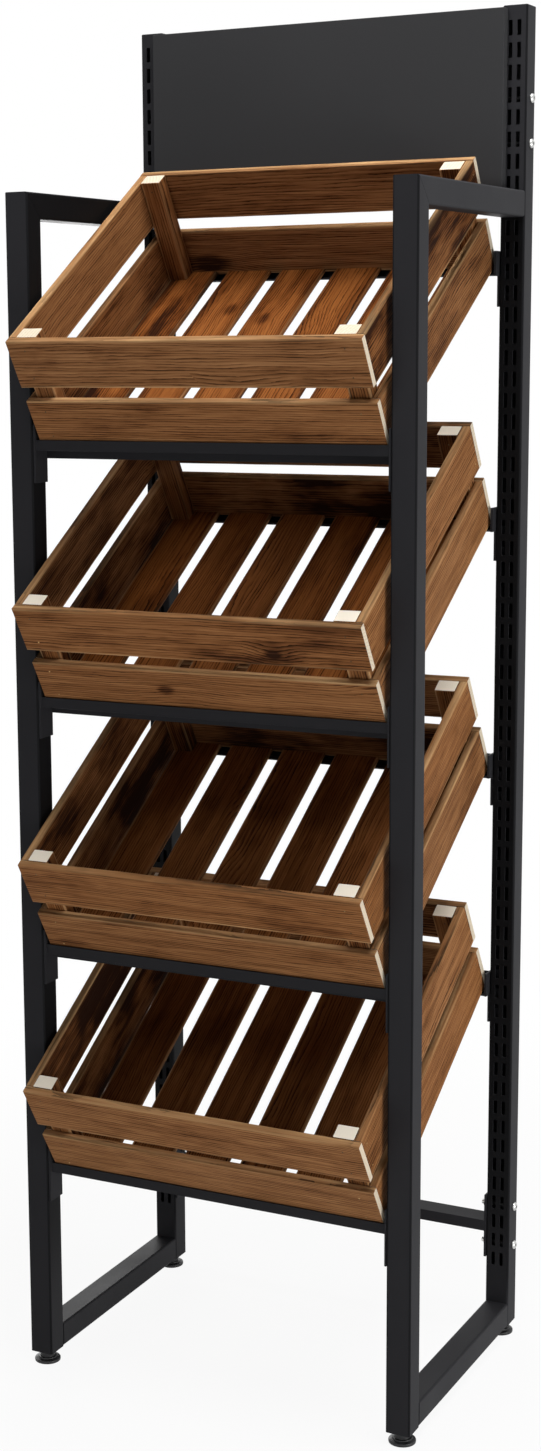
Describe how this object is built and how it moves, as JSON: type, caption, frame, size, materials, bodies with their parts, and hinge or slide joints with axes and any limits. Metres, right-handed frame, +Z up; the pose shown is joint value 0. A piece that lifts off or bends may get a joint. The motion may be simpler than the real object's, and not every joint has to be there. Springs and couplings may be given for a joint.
{
  "type": "tiered produce display stand",
  "caption": "Free-standing black steel tube stand with slotted uprights, a header panel and tilted slatted wooden crates that lift off hooked cross bars.",
  "frame": {"origin": "on the floor, under the middle of the stand's bounding box", "axes": "+X across the stand to its right as seen from the front, +Y from the front to the back, +Z up"},
  "size_m": [0.5136, 0.4228, 1.628],
  "materials": {
    "black_steel": "fine matt black powder coat",
    "foot_nylon": "moulded black nylon",
    "zinc_bolt": "bright zinc plate",
    "burnt_wood": "scorched and brushed softwood with raised grain"
  },
  "bodies": {
    "stand": {"front_post_left": "black_steel", "front_post_right": "black_steel", "top_rail_left": "black_steel", "top_rail_right": "black_steel", "bottom_rail_left": "black_steel", "bottom_rail_right": "black_steel", "rear_upright_left": "black_steel", "rear_upright_right": "black_steel", "header_panel": "black_steel", "rear_stretcher": "black_steel", "front_bar_1": "black_steel", "front_bar_2": "black_steel", "front_bar_3": "black_steel", "front_bar_4": "black_steel", "rear_bar_1": "black_steel", "rear_bar_2": "black_steel", "rear_bar_3": "black_steel", "rear_bar_4": "black_steel", "bolt_header_left_lower": "zinc_bolt", "bolt_header_left_upper": "zinc_bolt", "bolt_header_right_lower": "zinc_bolt", "bolt_header_right_upper": "zinc_bolt", "bolt_stretcher_left_lower": "zinc_bolt", "bolt_stretcher_left_upper": "zinc_bolt", "bolt_stretcher_right_lower": "zinc_bolt", "bolt_stretcher_right_upper": "zinc_bolt"},
    "crate_1": {"crate_1_base": "burnt_wood", "crate_1_front_panel": "burnt_wood", "crate_1_rear_panel": "burnt_wood", "crate_1_left_lower": "burnt_wood", "crate_1_left_upper": "burnt_wood", "crate_1_right_lower": "burnt_wood", "crate_1_right_upper": "burnt_wood"},
    "crate_2": {"crate_2_base": "burnt_wood", "crate_2_front_panel": "burnt_wood", "crate_2_rear_panel": "burnt_wood", "crate_2_left_lower": "burnt_wood", "crate_2_left_upper": "burnt_wood", "crate_2_right_lower": "burnt_wood", "crate_2_right_upper": "burnt_wood"},
    "crate_3": {"crate_3_base": "burnt_wood", "crate_3_front_panel": "burnt_wood", "crate_3_rear_panel": "burnt_wood", "crate_3_left_lower": "burnt_wood", "crate_3_left_upper": "burnt_wood", "crate_3_right_lower": "burnt_wood", "crate_3_right_upper": "burnt_wood"},
    "crate_4": {"crate_4_base": "burnt_wood", "crate_4_front_panel": "burnt_wood", "crate_4_rear_panel": "burnt_wood", "crate_4_left_lower": "burnt_wood", "crate_4_left_upper": "burnt_wood", "crate_4_right_lower": "burnt_wood", "crate_4_right_upper": "burnt_wood"},
    "foot_front_left": {"foot_front_left": "foot_nylon"},
    "foot_front_right": {"foot_front_right": "foot_nylon"},
    "foot_rear_left": {"foot_rear_left": "foot_nylon"},
    "foot_rear_right": {"foot_rear_right": "foot_nylon"}
  },
  "joints": [
    {"name": "crate_1_lift", "type": "slide", "parent": "stand", "child": "crate_1", "axis": [0, -0.5299, 0.848], "range_m": [0, 0.06]},
    {"name": "crate_2_lift", "type": "slide", "parent": "stand", "child": "crate_2", "axis": [0, -0.5299, 0.848], "range_m": [0, 0.06]},
    {"name": "crate_3_lift", "type": "slide", "parent": "stand", "child": "crate_3", "axis": [0, -0.5299, 0.848], "range_m": [0, 0.06]},
    {"name": "crate_4_lift", "type": "slide", "parent": "stand", "child": "crate_4", "axis": [0, -0.5299, 0.848], "range_m": [0, 0.06]},
    {"name": "foot_front_left_screw", "type": "slide", "parent": "stand", "child": "foot_front_left", "axis": [0, 0, 1], "range_m": [-0.01, 0]},
    {"name": "foot_front_right_screw", "type": "slide", "parent": "stand", "child": "foot_front_right", "axis": [0, 0, 1], "range_m": [-0.01, 0]},
    {"name": "foot_rear_left_screw", "type": "slide", "parent": "stand", "child": "foot_rear_left", "axis": [0, 0, 1], "range_m": [-0.01, 0]},
    {"name": "foot_rear_right_screw", "type": "slide", "parent": "stand", "child": "foot_rear_right", "axis": [0, 0, 1], "range_m": [-0.01, 0]}
  ]
}
